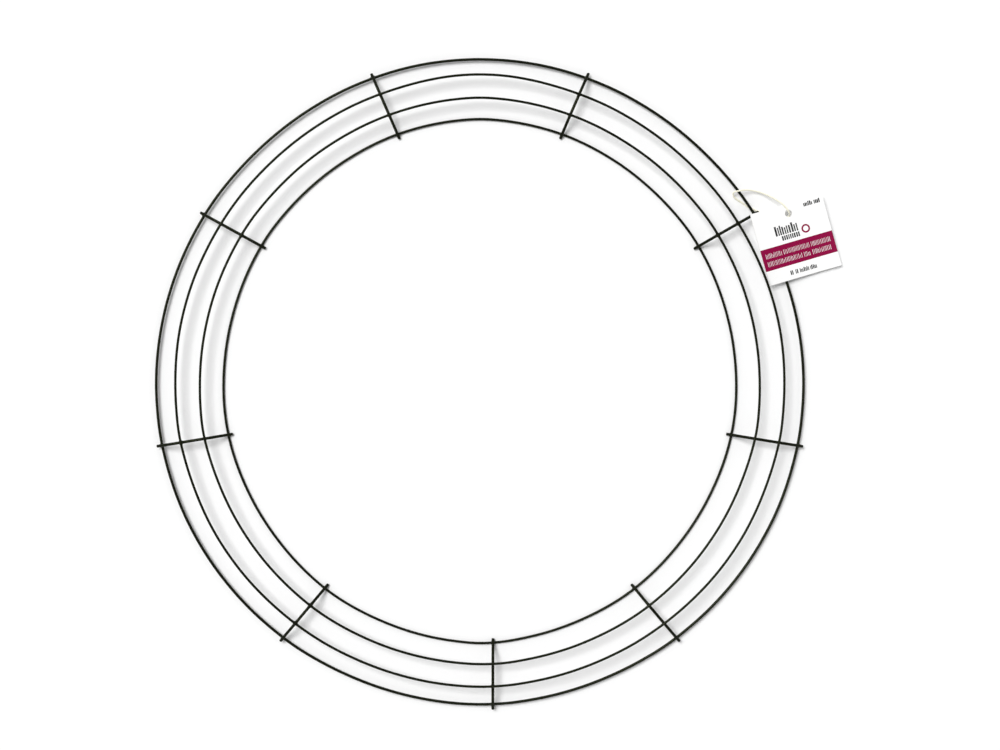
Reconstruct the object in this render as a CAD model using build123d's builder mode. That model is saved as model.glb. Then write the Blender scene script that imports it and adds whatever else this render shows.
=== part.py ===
from build123d import *
import math
import os

# Four-ring wire wreath frame with a hang tag on a loop of cotton string.
# The frame lies flat, dome upwards (+Z). The rings' common axis is parallel to Z.
# All sizes are millimetres.

os.makedirs("parts", exist_ok=True)

# ---------------------------------------------------------------- wire sizes
OUTER_WIRE = 2.0  # diameter of the largest ring's wire
RING_WIRE = 1.8  # diameter of the other three rings' wire
BAR_WIRE = 2.1  # diameter of the cross wires
WELD_SET_DOWN = 0.3  # how far each resistance weld sinks one wire into the other

# ------------------------------------------------------------------- heights
INNER_Z = 1.08  # centre line of the smallest ring
OUTER_Z = 3.13  # centre line of the largest ring
BAR_Z = 9.83  # centre line of the flat middle of every cross wire
RAISED_Z = BAR_Z + (BAR_WIRE + RING_WIRE) / 2 - WELD_SET_DOWN  # the two middle rings

INNER_ARM_DEG = 30.0  # slope of the cross wire's inner arm
OUTER_ARM_DEG = 27.0  # slope of its outer arm
BEND_R = 3.5  # centre-line radius of its two bends

# The rings' common centre, moved so that the origin is below the middle of the wires.
CENTRE_X, CENTRE_Y = 0.0, 1.38

# ------------------------------------------------- ring shapes, hand-formed wire
# (angle in degrees, radius in mm) round the common centre. The wire runs through
# these places in tangent arcs, so each ring is slightly out of round.
OUTER_RING = [
    (0, 228.54), (15, 227.96), (30, 227.24), (45, 226.46), (60, 226.78), (75, 227.51), (90, 227.76),
    (105, 227.53), (120, 226.82), (135, 226.50), (150, 227.31), (165, 227.90), (180, 228.55),
    (190, 228.68), (202, 228.65), (217, 228.30), (232.7, 227.77), (247, 227.09), (260, 227.33),
    (272.6, 227.69), (286, 227.07), (300, 227.35), (313, 227.93), (328, 228.41), (340, 228.67),
    (350, 228.71),
]
SECOND_RING = [
    (0, 213.82), (15, 213.65), (30, 212.93), (45, 212.62), (60, 213.00), (75, 214.12), (90, 215.73),
    (105, 214.08), (120, 212.95), (135, 212.52), (150, 212.82), (165, 213.48), (180, 213.62),
    (190, 213.97), (202, 213.75), (217, 213.82), (232.7, 213.25), (247, 213.07), (260, 213.41),
    (272.6, 213.86), (286, 213.18), (300, 213.18), (313, 213.49), (328, 214.04), (340, 213.82),
    (350, 214.22),
]
THIRD_RING = [
    (0, 196.49), (15, 196.20), (30, 196.49), (45, 196.46), (60, 196.98), (75, 198.18), (90, 199.23),
    (105, 198.14), (120, 196.93), (135, 196.35), (150, 196.37), (165, 196.06), (180, 196.35),
    (190, 197.09), (202, 196.39), (217, 196.42), (232.7, 196.83), (247, 196.90), (260, 197.34),
    (272.6, 198.03), (286, 197.06), (300, 196.95), (313, 196.75), (328, 196.49), (340, 196.59),
    (350, 197.26),
]
INNER_RING = [
    (0, 181.28), (15, 180.99), (30, 181.91), (45, 182.24), (60, 183.25), (75, 184.77), (90, 185.66),
    (105, 184.80), (120, 183.31), (135, 182.31), (150, 181.98), (165, 181.06), (180, 181.34),
    (190, 181.81), (202, 181.44), (217, 181.39), (232.7, 182.54), (247, 182.84), (260, 183.74),
    (272.6, 184.65), (286, 183.09), (300, 182.73), (313, 182.00), (328, 181.22), (340, 181.44),
    (350, 181.74),
]

# ------------------------------------------------------------------ cross wires
# (inner end x, y), (outer end x, y), distance along the wire's plan line from its
# inner end to its inner bend and to its outer bend. Numbered anticlockwise from the
# one on the right.
CROSSBARS = [
    ((151.67, 94.21), (196.51, 119.88), 15.30, 39.33),
    ((56.81, 171.95), (76.72, 217.77), 15.29, 37.03),
    ((-56.86, 171.95), (-76.57, 217.46), 15.30, 37.02),
    ((-151.65, 94.42), (-197.16, 119.46), 15.30, 39.38),
    ((-174.76, -36.86), (-227.83, -45.47), 15.05, 40.89),
    ((-107.37, -143.19), (-140.80, -182.92), 15.45, 39.58),
    ((9.28, -181.55), (9.15, -231.04), 14.82, 36.69),
    ((107.25, -143.25), (140.81, -182.92), 15.39, 39.58),
    ((174.38, -36.86), (227.83, -45.47), 15.34, 41.29),
]

# --------------------------------------------------------------------- hang tag
CARD_W, CARD_H = 53.2, 52.2  # along the top edge, and down the side
CARD_T = 0.4  # card thickness
CARD_CORNER_R = 0.6
HOLE_R = 2.5  # punched hole
HOLE_DOWN, HOLE_ACROSS = 6.7, 26.75  # from the top edge, and from the left edge
CARD_CORNER = (189.96, 117.63, 9.14)  # top left corner of the card's middle plane
CARD_ACROSS = (0.95522, 0.28102, -0.0926)  # unit direction along the top edge
CARD_DOWN = (0.27611, -0.9591, -0.06234)  # unit direction down the side

# ----------------------------------------------------------------------- string
STRING_D = 1.25
KNOT_R = 1.75
KNOT = (209.35, 116.29, 1.80)
# From the knot, up through the card's hole, over the outer ring, back under it and
# under the card to the knot. Both ends are inside the knot.
STRING = [
    KNOT,
    (214.25, 115.10, 2.10),
    (218.90, 116.90, 3.80),
    (217.70, 119.40, 8.10),
    (214.50, 124.00, 8.50),
    (209.07, 128.19, 6.90),
    (203.72, 131.48, 4.60),
    (198.25, 133.93, 2.80),
    (192.54, 135.23, 3.20),
    (188.40, 135.38, 4.60),
    (185.66, 135.13, 5.60),
    (181.99, 134.57, 5.60),
    (179.20, 134.07, 4.30),
    (178.61, 131.87, 2.20),
    (181.60, 128.95, 1.00),
    (185.10, 126.99, 0.75),
    (188.49, 124.30, 0.75),
    (193.09, 122.32, 0.75),
    (198.18, 119.92, 0.75),
    (203.82, 117.63, 0.95),
    (209.25, 116.45, 1.70),
]
TAIL_1 = [(210.3, 115.7, 1.5), (212.6, 113.6, 1.0), (214.6, 112.9, 0.85), (216.4, 110.9, 0.8)]
TAIL_2 = [(209.6, 115.2, 1.5), (209.7, 112.4, 1.0), (211.2, 110.4, 0.85), (210.9, 107.8, 0.8)]


def moved(point):
    """A point given round the rings' centre, from the part's origin."""
    return Vector(point[0] + CENTRE_X, point[1] + CENTRE_Y, point[2] if len(point) > 2 else 0)


def arc_joint(a, a_dir, b, b_dir):
    """Where two arcs meet that join a to b and are tangent to both directions."""
    chord, both = b - a, a_dir + b_dir
    slack = 2 * (1 - a_dir.dot(b_dir))
    reach = -chord.dot(both)
    d = (reach + math.sqrt(reach * reach + slack * chord.dot(chord))) / slack
    return (a + a_dir * d + b - b_dir * d) * 0.5


def ring_path(shape, z):
    """A closed chain of tangent arcs through a ring's (angle, radius) places."""
    points = [
        Vector(
            r * math.cos(math.radians(deg)) + CENTRE_X,
            r * math.sin(math.radians(deg)) + CENTRE_Y,
            z,
        )
        for deg, r in shape
    ]
    n = len(points)
    directions = []
    for i in range(n):
        before, after = points[i] - points[i - 1], points[(i + 1) % n] - points[i]
        directions.append(
            (
                before * (1 / before.dot(before)) + after * (1 / after.dot(after))
            ).normalized()
        )
    with BuildLine() as path:
        for i in range(n):
            j = (i + 1) % n
            middle = arc_joint(points[i], directions[i], points[j], directions[j])
            first = TangentArc(points[i], middle, tangent=directions[i])
            TangentArc(middle, points[j], tangent=first.tangent_at(1))
    return path.wire()


def weaker_radii(points):
    """The bend radius at each inner point of a limp route."""
    radii = []
    for a, b, c in zip(points, points[1:], points[2:]):
        turn = math.radians((b - a).get_angle(c - b))
        radii.append(0.45 * min((b - a).length, (c - b).length) / math.tan(turn / 2))
    return radii


# ======================================================================== rings
outer_path = ring_path(OUTER_RING, OUTER_Z)
second_path = ring_path(SECOND_RING, RAISED_Z)
third_path = ring_path(THIRD_RING, RAISED_Z)
inner_path = ring_path(INNER_RING, INNER_Z)

with BuildPart() as outer_ring:
    with BuildSketch(Plane(origin=outer_path @ 0, z_dir=outer_path % 0)):
        Circle(OUTER_WIRE / 2)
    sweep(path=outer_path)
outer_ring.part.label = "outer_ring"
export_step(outer_ring.part, "parts/outer_ring.step")

with BuildPart() as second_ring:
    with BuildSketch(Plane(origin=second_path @ 0, z_dir=second_path % 0)):
        Circle(RING_WIRE / 2)
    sweep(path=second_path)
second_ring.part.label = "second_ring"
export_step(second_ring.part, "parts/second_ring.step")

with BuildPart() as third_ring:
    with BuildSketch(Plane(origin=third_path @ 0, z_dir=third_path % 0)):
        Circle(RING_WIRE / 2)
    sweep(path=third_path)
third_ring.part.label = "third_ring"
export_step(third_ring.part, "parts/third_ring.step")

with BuildPart() as inner_ring:
    with BuildSketch(Plane(origin=inner_path @ 0, z_dir=inner_path % 0)):
        Circle(RING_WIRE / 2)
    sweep(path=inner_path)
inner_ring.part.label = "inner_ring"
export_step(inner_ring.part, "parts/inner_ring.step")

# ================================================================== cross wires
# A sloping arm, a bend, the flat middle, a bend and a sloping arm. Each wire has a
# saddle pressed into it where it is welded to a ring.
for number, (inner_end, outer_end, inner_bend, outer_bend) in enumerate(CROSSBARS, 1):
    start, end = moved(inner_end), moved(outer_end)
    along = (end - start).normalized()
    length = (end - start).length
    start_z = BAR_Z - inner_bend * math.tan(math.radians(INNER_ARM_DEG))
    end_z = BAR_Z - (length - outer_bend) * math.tan(math.radians(OUTER_ARM_DEG))
    upright = Plane(origin=start, x_dir=along, z_dir=along.cross(Vector(0, 0, 1)))
    with BuildPart() as crossbar:
        with BuildLine(upright) as bar_line:
            FilletPolyline(
                (0, start_z), (inner_bend, BAR_Z), (outer_bend, BAR_Z), (length, end_z), radius=BEND_R
            )
        bar_path = bar_line.wire()
        with BuildSketch(Plane(origin=bar_path @ 0, z_dir=bar_path % 0)):
            Circle(BAR_WIRE / 2)
        sweep(path=bar_path)
        add(outer_ring.part, mode=Mode.SUBTRACT)
        add(second_ring.part, mode=Mode.SUBTRACT)
        add(third_ring.part, mode=Mode.SUBTRACT)
        add(inner_ring.part, mode=Mode.SUBTRACT)
    crossbar.part.label = f"crossbar_{number}"
    export_step(crossbar.part, f"parts/crossbar_{number}.step")

# ===================================================================== hang tag
card_across, card_down = Vector(*CARD_ACROSS), Vector(*CARD_DOWN)
card_plane = Plane(
    origin=moved(CARD_CORNER), x_dir=card_across, z_dir=card_down.cross(card_across)
)
with BuildPart() as hang_tag:
    with BuildSketch(card_plane):
        with Locations((CARD_W / 2, -CARD_H / 2)):
            RectangleRounded(CARD_W, CARD_H, CARD_CORNER_R)
        with Locations((HOLE_ACROSS, -HOLE_DOWN)):
            Circle(HOLE_R, mode=Mode.SUBTRACT)
    extrude(amount=CARD_T / 2, both=True)
hang_tag.part.label = "hang_tag"
export_step(hang_tag.part, "parts/hang_tag.step")

# ======================================================================= string
with BuildPart() as string_knot:
    with Locations(moved(KNOT)):
        Sphere(KNOT_R)
    for tail in (TAIL_1, TAIL_2):
        tail_points = [moved(p) for p in tail]
        with BuildLine() as tail_line:
            FilletPolyline(*tail_points, radius=weaker_radii(tail_points))
        tail_path = tail_line.wire()
        with BuildSketch(Plane(origin=tail_path @ 0, z_dir=tail_path % 0)):
            Circle(STRING_D / 2)
        sweep(path=tail_path)
string_knot.part.label = "string_knot"
export_step(string_knot.part, "parts/string_knot.step")

string_points = [moved(p) for p in STRING]
string_radii = weaker_radii(string_points)
print("string radii", [round(r, 2) for r in string_radii])
with BuildPart() as tag_string:
    with BuildLine() as string_line:
        FilletPolyline(*string_points, radius=string_radii)
    string_path = string_line.wire()
    with BuildSketch(Plane(origin=string_path @ 0, z_dir=string_path % 0)):
        Circle(STRING_D / 2)
    sweep(path=string_path)
    string_volume = tag_string.part.volume
    add(string_knot.part, mode=Mode.SUBTRACT)
tag_string.part.label = "tag_string"
export_step(tag_string.part, "parts/tag_string.step")

section = math.pi * STRING_D**2 / 4
print(f"string length {string_path.length:.1f}, volume {string_volume:.2f}, section x length {section * string_path.length:.2f}")
for ring, path, wire in (
    (outer_ring, outer_path, OUTER_WIRE),
    (second_ring, second_path, RING_WIRE),
    (third_ring, third_path, RING_WIRE),
    (inner_ring, inner_path, RING_WIRE),
):
    print(
        f"{ring.part.label} volume {ring.part.volume:.1f}, section x length {math.pi * wire**2 / 4 * path.length:.1f}"
    )
low = min(n.part.bounding_box().min.Z for n in (outer_ring, inner_ring))
print(f"lowest ring point {low:.3f}")
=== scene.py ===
import bpy
import math
import numpy as np
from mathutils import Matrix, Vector
from mathutils.geometry import delaunay_2d_cdt


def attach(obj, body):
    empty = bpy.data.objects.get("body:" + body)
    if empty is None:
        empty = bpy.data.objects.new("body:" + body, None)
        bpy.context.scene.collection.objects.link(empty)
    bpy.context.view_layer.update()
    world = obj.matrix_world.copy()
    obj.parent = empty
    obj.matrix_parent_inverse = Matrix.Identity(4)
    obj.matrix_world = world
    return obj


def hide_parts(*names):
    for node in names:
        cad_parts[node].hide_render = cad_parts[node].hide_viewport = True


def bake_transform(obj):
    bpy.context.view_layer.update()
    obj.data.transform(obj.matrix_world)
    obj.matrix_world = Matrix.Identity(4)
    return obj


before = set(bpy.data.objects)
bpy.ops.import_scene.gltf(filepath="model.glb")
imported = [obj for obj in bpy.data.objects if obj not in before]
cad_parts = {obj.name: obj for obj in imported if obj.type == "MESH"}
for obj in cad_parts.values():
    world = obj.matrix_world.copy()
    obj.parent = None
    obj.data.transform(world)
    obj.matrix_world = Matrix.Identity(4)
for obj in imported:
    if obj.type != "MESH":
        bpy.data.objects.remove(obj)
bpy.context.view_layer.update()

# Four-ring wire wreath frame with a hang tag on a loop of cotton string.
# Lengths below are millimetres in the row frame, and MM turns them into metres.
MM = 0.001
rng = np.random.default_rng(281)
scene = bpy.context.scene
CENTRE = np.array((0.0, 1.38, 0.0))  # the rings' common centre, as in the CAD


# ------------------------------------------------------------------ camera
cam_data = bpy.data.cameras.new("camera")
cam_data.sensor_width = 36.0
cam_data.lens = 36.0 * (1300 - 3.13) / 706.2
cam_data.clip_start, cam_data.clip_end = 0.01, 50
camera = bpy.data.objects.new("camera", cam_data)
camera.location = (0.01423, 0.00625, 1.300)
scene.collection.objects.link(camera)
scene.camera = camera
scene.view_settings.view_transform = "Standard"


# --------------------------------------------------------------- materials
def material(name, **sockets):
    m = bpy.data.materials.new(name)
    m.use_nodes = True
    b = m.node_tree.nodes["Principled BSDF"]
    for key, value in sockets.items():
        b.inputs[key.replace("_", " ")].default_value = value
    return m, m.node_tree.nodes, m.node_tree.links, b


def noise(nodes, links, scale, detail=4.0, rough=0.55, kind="ShaderNodeTexNoise"):
    coord = nodes.new("ShaderNodeTexCoord")
    n = nodes.new(kind)
    n.inputs["Scale"].default_value = scale
    if kind == "ShaderNodeTexNoise":
        n.inputs["Detail"].default_value = detail
        n.inputs["Roughness"].default_value = rough
    links.new(coord.outputs["Object"], n.inputs["Vector"])
    return n


def ramp(nodes, links, source, stops, target):
    r = nodes.new("ShaderNodeValToRGB")
    while len(r.color_ramp.elements) < len(stops):
        r.color_ramp.elements.new(0.5)
    for e, (pos, col) in zip(r.color_ramp.elements, stops):
        e.position = pos
        e.color = (*col, 1)
    links.new(source, r.inputs["Fac"])
    links.new(r.outputs["Color"], target)
    return r


def map_range(nodes, links, source, lo, hi, target, a=0.3, b=0.7):
    m = nodes.new("ShaderNodeMapRange")
    m.inputs["From Min"].default_value, m.inputs["From Max"].default_value = a, b
    m.inputs["To Min"].default_value, m.inputs["To Max"].default_value = lo, hi
    links.new(source, m.inputs["Value"])
    links.new(m.outputs["Result"], target)


def bump(nodes, links, source, strength, distance, target, under=None):
    b = nodes.new("ShaderNodeBump")
    b.inputs["Strength"].default_value = strength
    b.inputs["Distance"].default_value = distance
    links.new(source, b.inputs["Height"])
    if under is not None:
        links.new(under.outputs["Normal"], b.inputs["Normal"])
    links.new(b.outputs["Normal"], target)
    return b


def enamel():
    m, n, l, b = material("green_enamel", Specular_IOR_Level=0.15, IOR=1.5, Specular_Tint=(0.90, 1.0, 0.62, 1.0))
    tone = noise(n, l, 160, 5)
    ramp(n, l, tone.outputs["Fac"], [(0.30, (0.0022, 0.0027, 0.0012)), (0.55, (0.0040, 0.0047, 0.0022)), (0.75, (0.0078, 0.0092, 0.0048))], b.inputs["Base Color"])
    rough = noise(n, l, 420, 3)
    map_range(n, l, rough.outputs["Fac"], 0.22, 0.38, b.inputs["Roughness"])
    peel = noise(n, l, 800, 2)
    grit = noise(n, l, 3200, 3)
    first = bump(n, l, peel.outputs["Fac"], 0.5, 0.00006, b.inputs["Normal"])
    bump(n, l, grit.outputs["Fac"], 0.35, 0.00002, b.inputs["Normal"], first)
    return m


def paper(name, stops, rough=(0.42, 0.58), spec=0.35):
    m, n, l, b = material(name, Specular_IOR_Level=spec)
    tone = noise(n, l, 900, 6, 0.7)
    ramp(n, l, tone.outputs["Fac"], stops, b.inputs["Base Color"])
    fibre = noise(n, l, 2600, 5, 0.65)
    map_range(n, l, fibre.outputs["Fac"], rough[0], rough[1], b.inputs["Roughness"])
    bump(n, l, fibre.outputs["Fac"], 0.25, 0.00002, b.inputs["Normal"])
    return m


def cotton():
    m, n, l, b = material("cotton", Specular_IOR_Level=0.15, Sheen_Weight=0.25, Sheen_Roughness=0.5)
    tone = noise(n, l, 1500, 5, 0.7)
    ramp(n, l, tone.outputs["Fac"], [(0.30, (0.80, 0.76, 0.60)), (0.62, (0.95, 0.93, 0.78))], b.inputs["Base Color"])
    fibre = noise(n, l, 5200, 4, 0.7)
    map_range(n, l, fibre.outputs["Fac"], 0.75, 0.95, b.inputs["Roughness"])
    bump(n, l, fibre.outputs["Fac"], 0.6, 0.00005, b.inputs["Normal"])
    return m


GREEN = enamel()
WHITE = paper("card_white", [(0.30, (0.925, 0.925, 0.915)), (0.65, (0.955, 0.955, 0.95))])
CORE = paper("card_core", [(0.30, (0.70, 0.69, 0.66)), (0.65, (0.82, 0.81, 0.78))], (0.75, 0.9), 0.15)
CRIMSON = paper("ink_crimson", [(0.30, (0.225, 0.0018, 0.042)), (0.65, (0.275, 0.0032, 0.056))], (0.34, 0.46), 0.12)
BLACK = paper("ink_black", [(0.30, (0.008, 0.008, 0.008)), (0.65, (0.018, 0.018, 0.018))], (0.35, 0.50), 0.18)
GREY = paper("ink_grey", [(0.30, (0.014, 0.014, 0.015)), (0.65, (0.028, 0.028, 0.030))], (0.35, 0.50), 0.18)
COTTON = cotton()


# ------------------------------------------------------------------- tools
def mesh_object(name, verts_mm, faces, mats, indices=None, smooth=True):
    me = bpy.data.meshes.new(name)
    me.from_pydata((np.asarray(verts_mm) * MM).tolist(), [], faces)
    for m in mats:
        me.materials.append(m)
    if indices is not None:
        me.polygons.foreach_set("material_index", indices)
    me.polygons.foreach_set("use_smooth", smooth if isinstance(smooth, list) else [smooth] * len(me.polygons))
    me.validate()
    me.update()
    ob = bpy.data.objects.new(name, me)
    scene.collection.objects.link(ob)
    return ob


def unit(v):
    return v / np.linalg.norm(v, axis=-1, keepdims=True)


def tangents(P, closed):
    if closed:
        return unit(np.roll(P, -1, 0) - np.roll(P, 1, 0))
    return unit(np.gradient(P, axis=0))


def carried_frames(P, T, first):
    """Normals carried along an open path without twist."""
    N = np.zeros_like(P)
    n = np.array(first, float)
    for i, t in enumerate(T):
        n = n - (n @ t) * t
        n = n / np.linalg.norm(n)
        N[i] = n
    return N, np.cross(T, N)


def tube_faces(rows, sides, closed):
    faces = []
    for i in range(rows if closed else rows - 1):
        a, b = i * sides, ((i + 1) % rows) * sides
        for j in range(sides):
            k = (j + 1) % sides
            faces.append((a + j, a + k, b + k, b + j))
    return faces


def dist_to_path(X, P):
    A, D = P[:-1], P[1:] - P[:-1]
    L2 = (D * D).sum(1)
    t = np.clip(((X[:, None] - A[None]) * D[None]).sum(2) / L2, 0, 1)
    return np.linalg.norm(X[:, None] - (A[None] + t[..., None] * D[None]), axis=2).min(1)


def resample(P, step):
    s = np.r_[0, np.cumsum(np.linalg.norm(np.diff(P, axis=0), axis=1))]
    q = np.linspace(0, s[-1], max(3, int(round(s[-1] / step)) + 1))
    return np.column_stack([np.interp(q, s, P[:, i]) for i in range(3)])


def cord_tube(P, radius, lobe, pitch, sides=24, first=(0, 0, 1), fray=(0, 0)):
    """A three-ply twisted cord along an open path, with closed ends."""
    T = tangents(P, False)
    N, B = carried_frames(P, T, first)
    s = np.r_[0, np.cumsum(np.linalg.norm(np.diff(P, axis=0), axis=1))]
    phi = np.arange(sides) / sides * 2 * math.pi
    verts = []
    for i in range(len(P)):
        end = min(s[i] / 0.5, (s[-1] - s[i]) / 0.5, 1.0)
        shrink = 0.72 + 0.28 * math.sin(end * math.pi / 2)
        flare = 1 + fray[1] * max(0, 1 - (s[-1] - s[i]) / 1.6) + fray[0] * max(0, 1 - s[i] / 1.6)
        ply = abs(np.cos(1.5 * phi + 1.5 * 2 * math.pi * s[i] / pitch))
        r = (radius - lobe + lobe * ply) * shrink * flare
        verts.append(P[i] + r[:, None] * (np.cos(phi)[:, None] * N[i] + np.sin(phi)[:, None] * B[i]))
    verts = np.vstack(verts)
    faces = tube_faces(len(P), sides, False)
    faces.append(tuple(range(sides - 1, -1, -1)))
    faces.append(tuple(len(verts) - sides + j for j in range(sides)))
    return verts, faces


# ------------------------------------------------------------------ string
KNOT = (209.35, 116.29, 1.80)
STRING = [
    KNOT, (214.25, 115.10, 2.10), (218.90, 116.90, 3.80), (217.70, 119.40, 8.10), (214.50, 124.00, 8.50),
    (209.07, 128.19, 6.90), (203.72, 131.48, 4.60), (198.25, 133.93, 2.80), (192.54, 135.23, 3.20),
    (188.40, 135.38, 4.60), (185.66, 135.13, 5.60), (181.99, 134.57, 5.60), (179.20, 134.07, 4.30),
    (178.61, 131.87, 2.20), (181.60, 128.95, 1.00), (185.10, 126.99, 0.75), (188.49, 124.30, 0.75),
    (193.09, 122.32, 0.75), (198.18, 119.92, 0.75), (203.82, 117.63, 0.95), (209.25, 116.45, 1.70),
]
TAIL_1 = [(210.3, 115.7, 1.5), (212.6, 113.6, 1.0), (214.6, 112.9, 0.85), (216.4, 110.9, 0.8)]
TAIL_2 = [(209.6, 115.2, 1.5), (209.7, 112.4, 1.0), (211.2, 110.4, 0.85), (210.9, 107.8, 0.8)]
STRING_D = 1.25


def spline_points(name, points, resolution=20):
    cu = bpy.data.curves.new(name, "CURVE")
    cu.dimensions = "3D"
    cu.resolution_u = resolution
    sp = cu.splines.new("NURBS")
    sp.points.add(len(points) - 1)
    for p, q in zip(sp.points, points):
        p.co = (*((np.array(q) + CENTRE) * MM), 1)
    sp.order_u = 3
    sp.use_endpoint_u = True
    ob = bpy.data.objects.new(name, cu)
    scene.collection.objects.link(ob)
    bpy.context.view_layer.update()
    me = bpy.data.meshes.new_from_object(ob.evaluated_get(bpy.context.evaluated_depsgraph_get()))
    P = np.array([v.co for v in me.vertices], float) / MM
    bpy.data.objects.remove(ob)
    bpy.data.curves.remove(cu)
    bpy.data.meshes.remove(me)
    return P


route = resample(spline_points("string_route", STRING), 0.2)
route_length = float(np.linalg.norm(np.diff(route, axis=0), axis=1).sum())
v, f = cord_tube(route, STRING_D / 2, 0.17, 4.2)
string = mesh_object("cotton_loop", v, f, [COTTON])

# The knot: a tight overhand knot in the same cord, with the two tails.
turn = np.linspace(0.35, 2 * math.pi - 0.05, 260)
knot_path = np.column_stack([
    0.42 * (np.sin(turn) + 2 * np.sin(2 * turn)),
    0.42 * (np.cos(turn) - 2 * np.cos(2 * turn)),
    -0.78 * np.sin(3 * turn),
]) + np.array(KNOT) + CENTRE + np.array((0, 0, 0.05))
parts = [cord_tube(knot_path, 0.58, 0.15, 3.9)]
for tail in (TAIL_1, TAIL_2):
    path = resample(spline_points("tail_route", tail), 0.18)
    parts.append(cord_tube(path, 0.60, 0.16, 4.0, fray=(0, 0.22)))
# loose fibres at the cut ends
for tail in (TAIL_1, TAIL_2):
    end = np.array(tail[-1]) + CENTRE
    way = unit(np.array(tail[-1]) - np.array(tail[-2]))
    for _ in range(16):
        lean = way + rng.normal(0, 0.38, 3) * np.array((1, 1, 0.35))
        side = rng.normal(0, 0.22, 3)
        a = end - way * 0.3 + side
        b = a + unit(lean) * rng.uniform(0.7, 1.5)
        c = (a + b) / 2 + rng.normal(0, 0.10, 3)
        fib = resample(np.array([a, c, b]), 0.25)
        fib[:, 2] = np.maximum(fib[:, 2], 0.10)
        parts.append(cord_tube(fib, 0.055, 0.0, 1.0, sides=6, first=(0.2, 0.3, 1)))
kv, kf, off = [], [], 0
for v, f in parts:
    kv.append(v)
    kf += [tuple(i + off for i in face) for face in f]
    off += len(v)
knot = mesh_object("cotton_knot", np.vstack(kv), kf, [COTTON])


# ------------------------------------------------------------------- wires
OUTER_T = [
    228.55, 228.38, 228.17, 227.97, 227.74, 227.49, 227.22, 226.95, 226.68, 226.45, 226.47, 226.58,
    226.76, 227.08, 227.24, 227.52, 227.67, 227.72, 227.76, 227.73, 227.69, 227.53, 227.26, 227.11,
    226.81, 226.62, 226.48, 226.48, 226.70, 227.11, 227.27, 227.46, 227.68, 227.94, 228.15, 228.36,
    228.55, 228.60, 228.75, 228.63, 228.65, 228.63, 228.51, 228.38, 228.20, 228.03, 227.80, 227.76,
    227.36, 227.12, 227.10, 227.18, 227.31, 227.53, 227.67, 227.63, 227.29, 227.16, 227.08, 227.10,
    227.30, 227.71, 227.78, 227.98, 228.16, 228.32, 228.45, 228.62, 228.67, 228.64, 228.78, 228.61,
]
SECOND_T = [
    213.77, 213.82, 213.83, 213.62, 213.38, 213.09, 212.92, 212.85, 212.71, 212.58, 212.65, 212.77,
    213.01, 213.36, 213.63, 214.08, 214.82, 215.52, 215.75, 215.50, 214.80, 214.04, 213.59, 213.31,
    212.96, 212.71, 212.54, 212.49, 212.61, 212.73, 212.81, 212.96, 213.27, 213.45, 213.63, 213.62,
    213.57, 213.74, 214.12, 213.82, 213.68, 213.80, 213.92, 213.83, 213.72, 213.47, 213.30, 213.25,
    213.19, 213.04, 213.09, 213.22, 213.43, 213.64, 213.87, 213.79, 213.43, 213.25, 213.14, 213.08,
    213.23, 213.28, 213.38, 213.56, 213.81, 213.95, 214.04, 213.91, 213.82, 214.00, 214.33, 213.94,
]
THIRD_T = [
    196.47, 196.34, 196.23, 196.21, 196.27, 196.29, 196.44, 196.63, 196.45, 196.42, 196.54, 196.70,
    196.97, 197.38, 197.78, 198.17, 198.61, 199.08, 199.44, 199.06, 198.60, 198.14, 197.73, 197.33,
    196.91, 196.66, 196.46, 196.29, 196.34, 196.53, 196.33, 196.15, 196.13, 196.08, 196.10, 196.20,
    196.32, 196.72, 197.17, 196.82, 196.45, 196.37, 196.37, 196.40, 196.49, 196.55, 196.72, 196.93,
    196.90, 196.83, 196.97, 197.13, 197.36, 197.63, 198.01, 197.99, 197.42, 197.16, 197.01, 196.87,
    196.94, 196.98, 196.79, 196.68, 196.60, 196.50, 196.50, 196.51, 196.59, 196.94, 197.30, 196.88,
]
INNER_T = [
    181.27, 181.08, 181.03, 181.03, 181.20, 181.50, 181.85, 182.19, 182.18, 182.21, 182.42, 182.82,
    183.24, 183.78, 184.37, 184.74, 185.12, 185.57, 185.88, 185.56, 185.15, 184.78, 184.40, 183.83,
    183.29, 182.88, 182.51, 182.30, 182.21, 182.24, 181.94, 181.58, 181.28, 181.10, 181.09, 181.14,
    181.34, 181.63, 181.77, 181.72, 181.51, 181.35, 181.34, 181.37, 181.54, 181.91, 182.31, 182.69,
    182.75, 182.77, 182.96, 183.34, 183.74, 184.19, 184.75, 184.44, 183.71, 183.30, 182.93, 182.72,
    182.69, 182.61, 182.21, 181.83, 181.50, 181.32, 181.26, 181.26, 181.44, 181.65, 181.70, 181.56,
]
BAR_Z, INNER_Z, OUTER_Z, RAISED_Z = 9.83, 1.08, 3.13, 11.48
RINGS = {  # name: (radii every 5 degrees, height, wire radius, where its ends are joined)
    "outer_ring": (OUTER_T, OUTER_Z, 1.0, 281.0),
    "second_ring": (SECOND_T, RAISED_Z, 0.9, 247.0),
    "third_ring": (THIRD_T, RAISED_Z, 0.9, 292.0),
    "inner_ring": (INNER_T, INNER_Z, 0.9, 254.0),
}
CROSSBARS = [
    ((151.67, 94.21), (196.51, 119.88), 15.30, 39.33),
    ((56.81, 171.95), (76.72, 217.77), 15.29, 37.03),
    ((-56.86, 171.95), (-76.57, 217.46), 15.30, 37.02),
    ((-151.65, 94.42), (-197.16, 119.46), 15.30, 39.38),
    ((-174.76, -36.86), (-227.83, -45.47), 15.05, 40.89),
    ((-107.37, -143.19), (-140.80, -182.92), 15.45, 39.58),
    ((9.28, -181.55), (9.15, -231.04), 14.82, 36.69),
    ((107.25, -143.25), (140.81, -182.92), 15.39, 39.58),
    ((174.38, -36.86), (227.83, -45.47), 15.34, 41.29),
]
BAR_R, BEND_R = 1.05, 3.5


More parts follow.
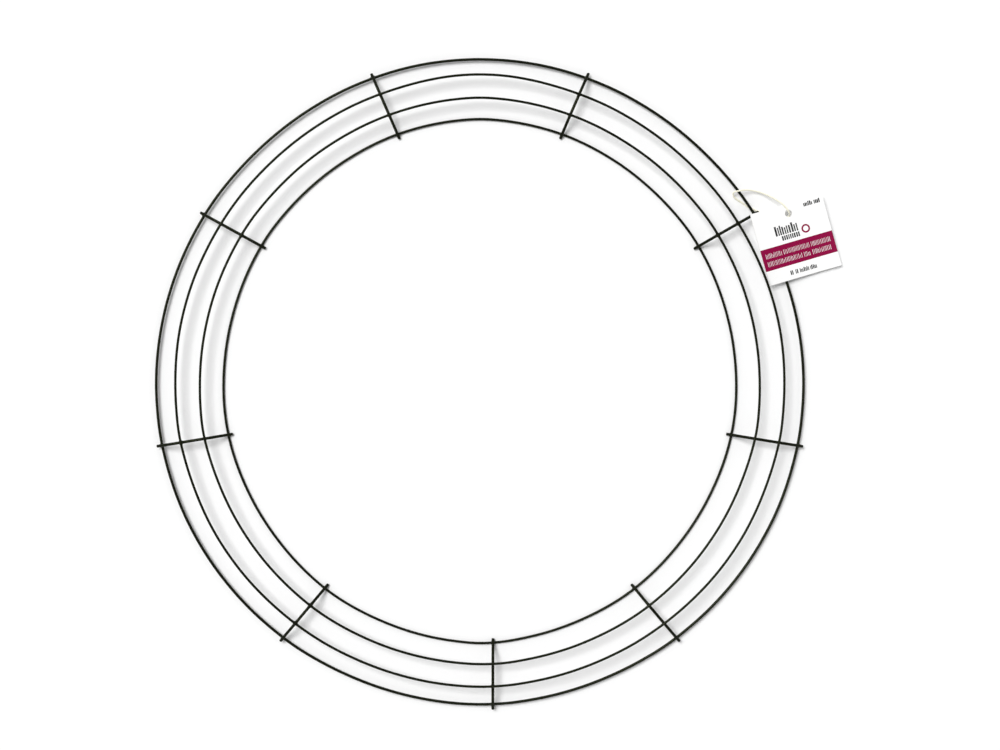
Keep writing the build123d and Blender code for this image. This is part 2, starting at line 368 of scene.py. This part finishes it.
def ring_radius(table, deg):
    t = np.asarray(table)
    x = np.asarray(deg, float) % 360 / 5
    i = np.floor(x).astype(int)
    w = x - i
    a, b, c, d = (t[(i + k) % 72] for k in (-1, 0, 1, 2))
    return b + 0.5 * w * (c - a + w * (2 * a - 5 * b + 4 * c - d + w * (3 * (b - c) + d - a)))


def bar_path(bar):
    (ax, ay), (bx, by), t1, t2 = bar
    A, Bp = np.array((ax, ay)), np.array((bx, by))
    L = np.linalg.norm(Bp - A)
    way = (Bp - A) / L
    s1, s2 = math.tan(math.radians(30)), math.tan(math.radians(27))
    corners = [(0, BAR_Z - s1 * t1), (t1, BAR_Z), (t2, BAR_Z), (L, BAR_Z - s2 * (L - t2))]
    pts = [np.array(corners[0])]
    for i in (1, 2):
        p = np.array(corners[i])
        u1, u2 = unit(np.array(corners[i - 1]) - p), unit(np.array(corners[i + 1]) - p)
        half = math.acos(np.clip(u1 @ u2, -1, 1)) / 2
        cut = BEND_R / math.tan(half)
        mid = unit(u1 + u2)
        c = p + mid * BEND_R / math.sin(half)
        a0 = p + u1 * cut - c
        a1 = p + u2 * cut - c
        for w in np.linspace(0, 1, 9):
            d = unit(a0 * (1 - w) + a1 * w)
            pts.append(c + d * BEND_R)
    pts.append(np.array(corners[3]))
    prof = np.array(pts)
    return np.column_stack([A[0] + way[0] * prof[:, 0], A[1] + way[1] * prof[:, 0], prof[:, 1]]) + CENTRE, way


bars = {}
for n, bar in enumerate(CROSSBARS, 1):
    P, way = bar_path(bar)
    P = resample(P, 0.3)
    T = tangents(P, False)
    side = np.array((-way[1], way[0], 0.0))
    N = np.tile(side, (len(P), 1))
    B = np.cross(T, N)
    sides = 20
    phi = np.arange(sides) / sides * 2 * math.pi
    s = np.r_[0, np.cumsum(np.linalg.norm(np.diff(P, axis=0), axis=1))]
    lean = rng.uniform(-0.16, 0.16, (2, 2))
    V, W = [], []
    for i in range(len(P)):
        near = min(s[i], s[-1] - s[i])
        r = BAR_R * (1 - 0.16 * max(0, 1 - near / 0.28) ** 2) + 0.010 * math.sin(s[i] * 1.7 + n)
        d = np.cos(phi)[:, None] * N[i] + np.sin(phi)[:, None] * B[i]
        e = 0 if s[i] < s[-1] / 2 else 1
        cut = max(0, 1 - near / 1.2)
        shear = (lean[e][0] * np.cos(phi) + lean[e][1] * np.sin(phi)) * cut
        V.append(P[i] + r * d + shear[:, None] * T[i])
        W.append(d)
    bars[f"crossbar_{n}"] = dict(P=P, V=np.vstack(V), N=np.vstack(W), rows=len(P), sides=sides, r=BAR_R)

rings = {}
for name, (table, z, r0, joined) in RINGS.items():
    degs = list(np.arange(0, 360, 0.6))
    crossings = []
    for b in bars.values():
        q = b["P"] - CENTRE
        a = np.degrees(np.arctan2(q[:, 1], q[:, 0])) % 360
        gap = np.abs(np.hypot(q[:, 0], q[:, 1]) - ring_radius(table, a))
        crossings.append(a[np.argmin(gap)])
    spread = 4.2 / np.mean(table) * 180 / math.pi
    for c in crossings + [joined]:
        degs = [d for d in degs if abs((d - c + 180) % 360 - 180) > spread]
        degs += list((c + np.linspace(-spread, spread, 29)) % 360)
    degs = np.array(sorted(set(np.round(degs, 4))))
    rad = ring_radius(table, degs)
    th = np.radians(degs)
    P = np.column_stack([rad * np.cos(th), rad * np.sin(th), np.full(len(th), z)]) + CENTRE
    T = tangents(P, True)
    up = np.array((0, 0, 1.0))
    out = np.cross(T, up)
    sides = 20
    phi = np.arange(sides) / sides * 2 * math.pi
    V, W = [], []
    for i in range(len(P)):
        away = abs((degs[i] - joined + 180) % 360 - 180) * math.pi / 180 * rad[i]
        r = r0 + 0.008 * math.sin(degs[i] * 2.3) + 0.10 * math.exp(-((away / 0.9) ** 2))
        d = np.cos(phi)[:, None] * out[i] + np.sin(phi)[:, None] * up
        V.append(P[i] + r * d)
        W.append(d)
    rings[name] = dict(P=np.vstack([P, P[:1]]), V=np.vstack(V), N=np.vstack(W), rows=len(P), sides=sides, r=r0, at=crossings)


def swell(wire, path, r_other, k):
    """Grows a weld fillet: wire's surface moves out to the smooth union with the other wire."""
    lo, hi = path.min(0) - 4, path.max(0) + 4
    pick = np.where(((wire["V"] > lo) & (wire["V"] < hi)).all(1))[0]
    if not len(pick):
        return
    V, N = wire["V"][pick], wire["N"][pick]
    b0 = dist_to_path(V, path) - r_other
    live = (b0 > -0.15) & (b0 < k)
    pick, V, N = pick[live], V[live], N[live]
    if not len(pick):
        return
    d = np.zeros(len(V))
    for _ in range(10):
        b = dist_to_path(V + d[:, None] * N, path) - r_other
        h = np.maximum(k - np.abs(d - b), 0) / k
        d = np.clip(d - 0.6 * (np.minimum(d, b) - h * h * k / 4), 0, 0.75)
    wire["V"][pick] = V + d[:, None] * N


rest = {n: w["V"].copy() for n, w in [*rings.items(), *bars.items()]}
for rn, ring in rings.items():
    for bn, bar in bars.items():
        q = bar["P"]
        gap = np.array([np.min(np.linalg.norm(ring["P"] - p, axis=1)) for p in q])
        i = int(np.argmin(gap))
        near_ring = ring["P"][np.linalg.norm(ring["P"] - q[i], axis=1) < 7]
        near_bar = q[max(0, i - 16): i + 17]
        k = rng.uniform(1.2, 2.0)
        swell(ring, near_bar, bar["r"], k)
        swell(bar, near_ring, ring["r"], k)

wires = {}
for name, w in [*rings.items(), *bars.items()]:
    closed = name in rings
    V = w["V"] + w["N"] * rng.normal(0, 0.004, len(w["V"]))[:, None]
    V[:, 2] = np.maximum(V[:, 2], 0.02)
    faces = tube_faces(w["rows"], w["sides"], closed)
    if not closed:
        s = w["sides"]
        faces.append(tuple(range(s - 1, -1, -1)))
        faces.append(tuple(len(V) - s + j for j in range(s)))
    wires[name] = mesh_object("wire_" + name, V, faces, [GREEN])


# -------------------------------------------------------------------- card
CARD_W, CARD_H, CARD_T = 53.2, 52.2, 0.4
HOLE_U, HOLE_V, HOLE_R = 26.75, 6.7, 2.5
CORNER = np.array((189.96, 117.63, 9.14)) + CENTRE
ACROSS = np.array((0.95522, 0.28102, -0.0926))
DOWN = np.array((0.27611, -0.9591, -0.06234))
UP = np.cross(DOWN, ACROSS)

verts2, edges2 = [], []


def outline(corners, closed=True, step=1.9):
    """An outline with extra points on its long sides, so that they can follow the card's bend."""
    points = []
    for i in range(len(corners) if closed else len(corners) - 1):
        p, q = np.array(corners[i]), np.array(corners[(i + 1) % len(corners)])
        parts = max(1, math.ceil(np.linalg.norm(q - p) / step))
        points += [tuple(p + (q - p) * j / parts) for j in range(parts)]
    if not closed:
        points.append(tuple(corners[-1]))
    a = len(verts2)
    verts2.extend(Vector(p) for p in points)
    n = len(points)
    edges2.extend((a + i, a + (i + 1) % n) for i in range(n if closed else n - 1))


border = []
for cx, cy, start in ((CARD_W - 0.6, 0.6, -90), (CARD_W - 0.6, CARD_H - 0.6, 0), (0.6, CARD_H - 0.6, 90), (0.6, 0.6, 180)):
    for a in np.linspace(start, start + 90, 6):
        border.append((cx + 0.6 * math.cos(math.radians(a)), cy + 0.6 * math.sin(math.radians(a))))
outline(border)
outline([(HOLE_U + HOLE_R * math.cos(a), HOLE_V + HOLE_R * math.sin(a)) for a in np.linspace(0, 2 * math.pi, 41)[:-1]])

BAND = (26.6, 42.1)
for y in BAND:
    outline([(0.0, y), (CARD_W, y)], closed=False)

# The card's print is left out. Plain upright strokes stand in for its words: they are
# no letters, and their widths and heights are random.
marks = []


def strokes(u0, u1, v0, v1, width, gap, ink, tall=0.25):
    u = u0
    while u < u1 - width * 0.6:
        w = width * rng.uniform(0.75, 1.25)
        top = v0 + (v1 - v0) * (0 if rng.random() > tall else rng.uniform(0.12, 0.3))
        marks.append((u, min(u + w, u1), top, v1, ink))
        u += w + gap * rng.uniform(0.8, 1.2)


for a, b in ((38.7, 45.4), (46.3, 50.6)):
    strokes(a, b, 2.0, 5.1, 0.90, 0.26, BLACK, 0.6)
strokes(13.8, 31.0, 13.2, 20.1, 1.15, 0.62, GREY, 0.7)
strokes(17.6, 31.0, 20.9, 24.2, 0.95, 0.50, GREY, 0.1)
for a, b in ((2.9, 14.9), (16.1, 35.1), (36.6, 50.3)):
    strokes(a, b, 30.2, 33.6, 0.26, 0.80, WHITE, 0.15)
for a, b in ((2.9, 28.3), (29.9, 35.1), (36.3, 50.3)):
    strokes(a, b, 35.9, 39.3, 0.26, 0.80, WHITE, 0.15)
for a, b in ((16.9, 19.3), (20.6, 22.9), (23.9, 30.6), (31.6, 36.6)):
    strokes(a, b, 46.0, 49.1, 0.72, 0.36, BLACK, 0.4)
for a, b, c, d, _ in marks:
    outline([(a, c), (b, c), (b, d), (a, d)])
ICON = (35.9, 20.2, 3.1, 1.9)  # a plain ring where the mark was
for r in ICON[2:]:
    outline([(ICON[0] + r * math.cos(a), ICON[1] + r * math.sin(a)) for a in np.linspace(0, 2 * math.pi, 33)[:-1]])
for gu in np.arange(1.5, CARD_W - 1, 1.9):
    for gv in np.arange(1.5, CARD_H - 1, 1.9):
        if math.hypot(gu - HOLE_U, gv - HOLE_V) > HOLE_R + 0.5:
            verts2.append(Vector((gu, gv)))

co, _, tri, *_ = delaunay_2d_cdt(verts2, edges2, [], 0, 1e-5)
co = np.array([(p.x, p.y) for p in co])
CARD_MATS = [WHITE, CRIMSON, BLACK, GREY, CORE]
kept, ink = [], []
for t in tri:
    c = co[list(t)].mean(0)
    if math.hypot(c[0] - HOLE_U, c[1] - HOLE_V) < HOLE_R * 0.994:
        continue
    x, y = co[list(t)][:, 0], co[list(t)][:, 1]
    if abs((x[1] - x[0]) * (y[2] - y[0]) - (x[2] - x[0]) * (y[1] - y[0])) < 1e-7:
        continue
    m = WHITE
    if BAND[0] < c[1] < BAND[1]:
        m = CRIMSON
    if ICON[3] < math.hypot(c[0] - ICON[0], c[1] - ICON[1]) < ICON[2]:
        m = CRIMSON
    for a, b, p, q, colour in marks:
        if a < c[0] < b and p < c[1] < q:
            m = colour
    kept.append(tuple(t))
    ink.append(CARD_MATS.index(m))

# The free corners curl up a little. The card stays flat where it is near a wire and at its hole.
bend = 0.8 * np.clip((co[:, 1] - 14) / 38, 0, 1) ** 2 * ((co[:, 0] - 26.6) / 26.6) ** 2
bend += 1.7 * np.clip((co[:, 0] - 31) / 22.2, 0, 1) ** 2
mid = CORNER + co[:, :1] * ACROSS + co[:, 1:] * DOWN + bend[:, None] * UP
n = len(co)
cv = np.vstack([mid + UP * CARD_T / 2, mid - UP * CARD_T / 2])
cf, ci = [], []
for t, m in zip(kept, ink):
    a, b, c = cv[t[0]], cv[t[1]], cv[t[2]]
    if np.cross(b - a, c - a) @ UP < 0:
        t = (t[0], t[2], t[1])
    cf += [t, (t[0] + n, t[2] + n, t[1] + n)]
    ci += [m, 0]
seen = {}
for t in cf[::2]:
    for i in range(3):
        seen[(t[i], t[(i + 1) % 3])] = True
for a, b in seen:
    if (b, a) not in seen:
        cf.append((b, a, a + n, b + n))
        ci.append(4)
used = sorted({i for f in cf for i in f})
where = {old: new for new, old in enumerate(used)}
cf = [tuple(where[i] for i in f) for f in cf]
card = mesh_object("hang_card", cv[used], cf, CARD_MATS, ci, smooth=[m != 4 for m in ci])
# crisp cut edges: the thin sides don't share their shading with the faces
side_edges = {tuple(sorted(k)) for p in card.data.polygons if p.material_index == 4 for k in p.edge_keys}
sharp = [tuple(sorted(e.vertices)) in side_edges for e in card.data.edges]
crisp = card.data.attributes.get("sharp_edge") or card.data.attributes.new("sharp_edge", "BOOLEAN", "EDGE")
crisp.data.foreach_set("value", sharp)
card.data.update()
print("card sharp edges", sum(sharp), "of", len(sharp), "faces", len(card.data.polygons), "expected", len(cf), "normals", card.data.normals_domain)

# --------------------------------------------------------- floor and light
fm, fn, fl, fb = material("floor_white", Roughness=0.95, Specular_IOR_Level=0.0)
ft = noise(fn, fl, 3, 2)
ramp(fn, fl, ft.outputs["Fac"], [(0.3, (0.915, 0.915, 0.915)), (0.7, (0.92, 0.92, 0.92))], fb.inputs["Base Color"])
floor = mesh_object("floor", np.array([(-4000, -4000, 0), (4000, -4000, 0), (4000, 4000, 0), (-4000, 4000, 0)], float), [(0, 1, 2, 3)], [fm], smooth=False)
floor.location.z = -0.00002

world = bpy.data.worlds.new("studio")
scene.world = world
world.use_nodes = True
wn, wl = world.node_tree.nodes, world.node_tree.links
wc = wn.new("ShaderNodeTexCoord")
ws = wn.new("ShaderNodeSeparateXYZ")
wl.new(wc.outputs["Generated"], ws.inputs["Vector"])
ramp(wn, wl, ws.outputs["Z"], [(0.0, (0.66, 0.66, 0.66)), (0.62, (0.66, 0.66, 0.66)), (0.92, (0.06, 0.06, 0.06))], wn["Background"].inputs["Color"])

key_data = bpy.data.lights.new("key", "SUN")
key_data.energy = 2.55
key_data.angle = math.radians(30)
key = bpy.data.objects.new("key", key_data)
elev = math.radians(62)
toward = Vector((-math.cos(elev) * 0.75, math.cos(elev) * 0.66, math.sin(elev)))
key.rotation_euler = toward.to_track_quat("Z", "Y").to_euler()
scene.collection.objects.link(key)

# ------------------------------------------------------------ what it rides
for name, ob in wires.items():
    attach(ob, "frame")
    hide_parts(name)
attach(card, "tag")
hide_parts("hang_tag")
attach(knot, "string")
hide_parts("string_knot")
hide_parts("tag_string")
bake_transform(string)

print("string route", round(route_length, 2), "mm; card triangles", len(kept))
